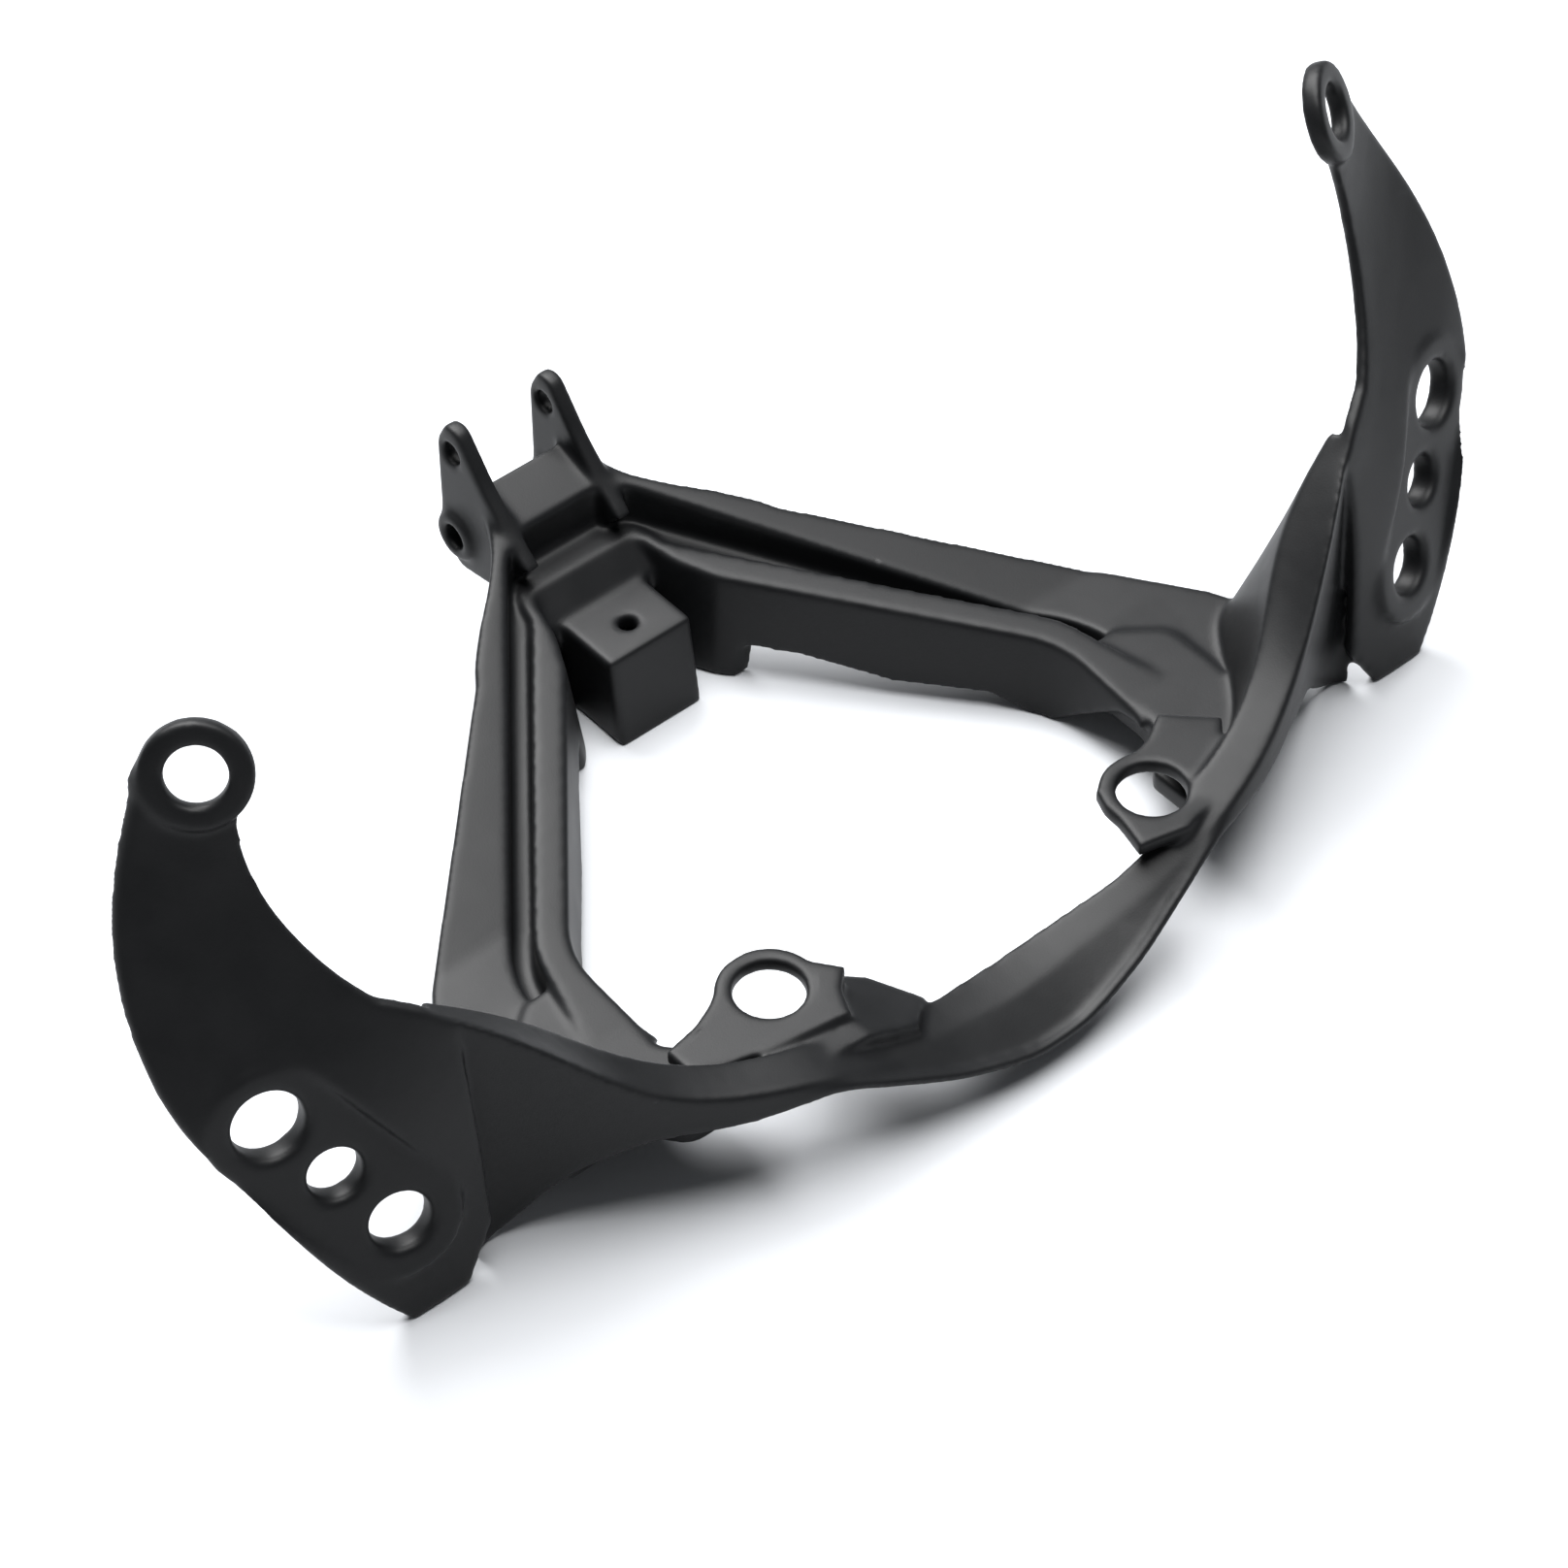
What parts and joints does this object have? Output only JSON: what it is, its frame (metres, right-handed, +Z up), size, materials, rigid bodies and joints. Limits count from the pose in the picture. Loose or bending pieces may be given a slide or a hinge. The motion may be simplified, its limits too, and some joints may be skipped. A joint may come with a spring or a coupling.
{
  "type": "headlight mounting bracket",
  "caption": "Black cast headlight mounting bracket with a triangular lamp opening, two upswept side arms, grommet tabs and a twin ear rear mount.",
  "frame": {"origin": "Middle of the bracket's length and width, on the table that the casting rests on.", "axes": "X to the bracket's right across the bike, Y towards the two rear ears, Z up."},
  "size_m": [0.3558, 0.19, 0.1346],
  "materials": {
    "coated_casting": "satin black coating over a fine grained casting"
  },
  "bodies": {
    "root": {"headlight_bracket": "coated_casting"}
  },
  "joints": []
}
